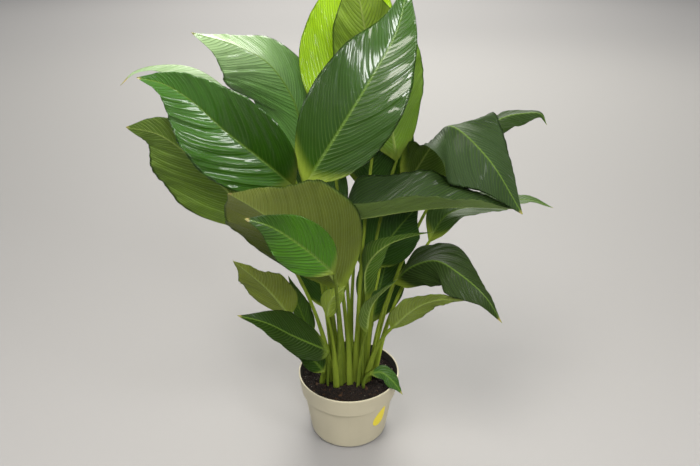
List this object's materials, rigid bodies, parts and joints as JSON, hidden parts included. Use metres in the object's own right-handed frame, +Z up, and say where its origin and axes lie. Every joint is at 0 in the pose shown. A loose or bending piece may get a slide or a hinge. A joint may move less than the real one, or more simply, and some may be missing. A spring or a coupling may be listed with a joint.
{
  "type": "potted peace lily",
  "caption": "Peace lily in a round nursery pot: long bare stalks rise from peat soil and carry broad, pointed, arching leaves all round.",
  "frame": {"origin": "middle of the flat pad under the pot, on the ground", "axes": "+Z up; -Y towards the plant's front, +X to the right of someone facing that front"},
  "size_m": [0.7064, 0.4571, 0.8509],
  "materials": {
    "pot_plastic": "matte",
    "peat_soil": "rough",
    "sticker_film": "satin",
    "mature_leaf": "satin",
    "young_leaf": "satin"
  },
  "bodies": {
    "root": {"pot": "pot_plastic", "potting_soil": "peat_soil", "sticker": "sticker_film", "leaf_front_tall": "mature_leaf", "leaf_crown_young": "young_leaf", "leaf_crown_back": "mature_leaf", "leaf_crown_right": "mature_leaf", "leaf_left_high": "mature_leaf", "leaf_left_curled": "mature_leaf", "leaf_left_glossy": "mature_leaf", "leaf_left_outer": "mature_leaf", "leaf_centre_broad": "mature_leaf", "leaf_front_young": "young_leaf", "leaf_left_low": "mature_leaf", "leaf_left_dark": "mature_leaf", "leaf_left_small": "mature_leaf", "leaf_left_narrow": "mature_leaf", "leaf_front_curled": "young_leaf", "leaf_right_folded": "mature_leaf", "leaf_right_drooping": "mature_leaf", "leaf_right_high": "mature_leaf", "leaf_right_reaching": "mature_leaf", "leaf_right_narrow": "mature_leaf", "leaf_right_low": "mature_leaf", "leaf_right_pale": "mature_leaf", "leaf_front_folded": "mature_leaf", "leaf_inner_right": "mature_leaf", "leaf_inner_front": "mature_leaf", "leaf_inner_back": "mature_leaf", "leaf_rim_small": "mature_leaf", "leaf_soil_left": "mature_leaf", "leaf_back_left": "mature_leaf", "leaf_back_right": "mature_leaf", "leaf_back_low_left": "mature_leaf", "leaf_back_low_right": "mature_leaf", "leaf_back_tall": "mature_leaf"}
  },
  "joints": []
}
